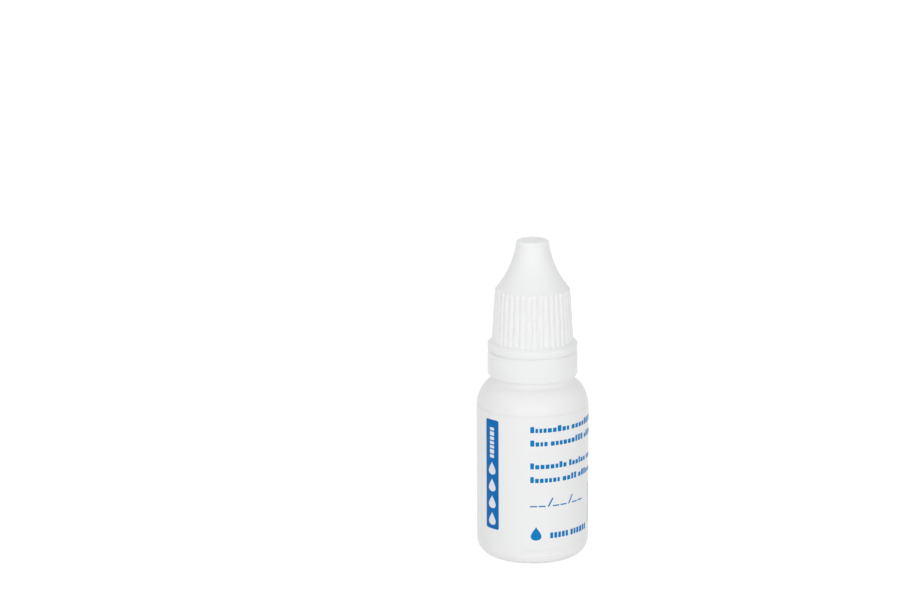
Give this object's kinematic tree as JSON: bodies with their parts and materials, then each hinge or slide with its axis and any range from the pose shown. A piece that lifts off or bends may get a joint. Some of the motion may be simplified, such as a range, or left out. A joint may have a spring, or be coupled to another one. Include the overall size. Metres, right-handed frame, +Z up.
{
  "type": "eye drop bottle",
  "caption": "White plastic squeeze dropper bottle for eye drops, with a ribbed spire cap, tamper ring and wrap label.",
  "frame": {"origin": "middle of the flat foot, on the surface that the bottle stands on", "axes": "+Z up along the bottle's axis, -Y towards the front of the label"},
  "size_m": [0.0252, 0.0252, 0.072],
  "materials": {
    "bottle_plastic": "soft satin white, low-density polyethylene",
    "insert_plastic": "natural white, low-density polyethylene",
    "cap_plastic": "satin white, high-density polyethylene",
    "ring_plastic": "satin white, high-density polyethylene",
    "label_film": "white film with blue print",
    "label_ink": "blue printing ink"
  },
  "bodies": {
    "bottle": {"bottle": "bottle_plastic", "dropper_insert": "insert_plastic", "label": "label_film"},
    "ring": {"tamper_ring": "ring_plastic"},
    "cap": {"screw_cap": "cap_plastic"}
  },
  "joints": [
    {"name": "cap_turn", "type": "hinge", "parent": "bottle", "child": "ring", "pos_m": [0, 0, 0.047], "axis": [0, 0, 1], "range_deg": [0, 2880]},
    {"name": "cap_lift", "type": "slide", "parent": "ring", "child": "cap", "axis": [0, 0, 1], "range_m": [0, 0.024]}
  ],
  "couplings": [
    {"joint": "cap_lift", "follows": "cap_turn", "m_per_rad": 0.00047746}
  ]
}
